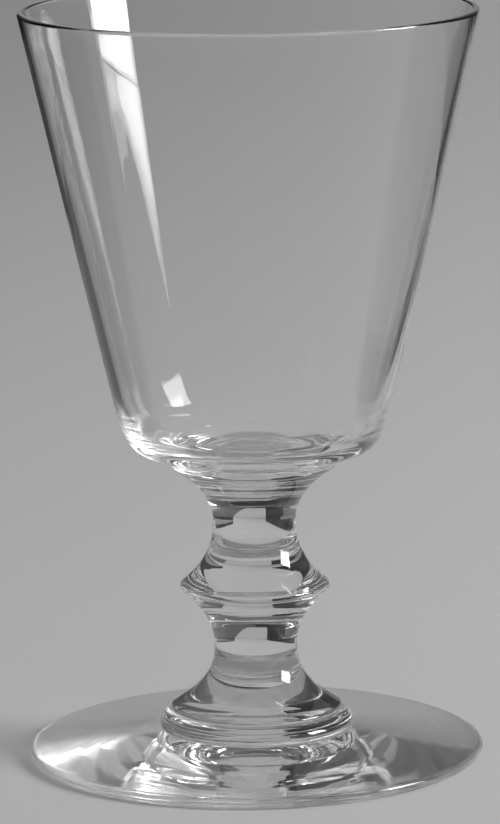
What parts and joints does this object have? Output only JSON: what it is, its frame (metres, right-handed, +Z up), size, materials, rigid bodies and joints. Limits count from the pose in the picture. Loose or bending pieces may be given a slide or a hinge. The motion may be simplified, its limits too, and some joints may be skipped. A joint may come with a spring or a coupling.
{
  "type": "water goblet",
  "caption": "Clear glass water goblet: a tapered open bowl on a collar, a short solid waisted stem with a knop, and a round foot.",
  "frame": {"origin": "centre of the circle that the foot rests on, at the level of the table", "axes": "+Z up along the goblet's own axis, from the foot to the rim; +X and +Y are alike, since the goblet is round"},
  "size_m": [0.092, 0.092, 0.152],
  "materials": {
    "bowl_glass": "clear blown glass, fire polished, with faint draw lines",
    "stem_glass": "clear solid glass, fire polished, with faint turning ripples",
    "foot_glass": "clear glass, fire polished above, worn matt on the ring that it rests on"
  },
  "bodies": {
    "root": {"bowl": "bowl_glass", "collar": "stem_glass", "upper_stem": "stem_glass", "knop": "stem_glass", "lower_stem": "stem_glass", "foot_boss": "stem_glass", "foot": "foot_glass"}
  },
  "joints": []
}
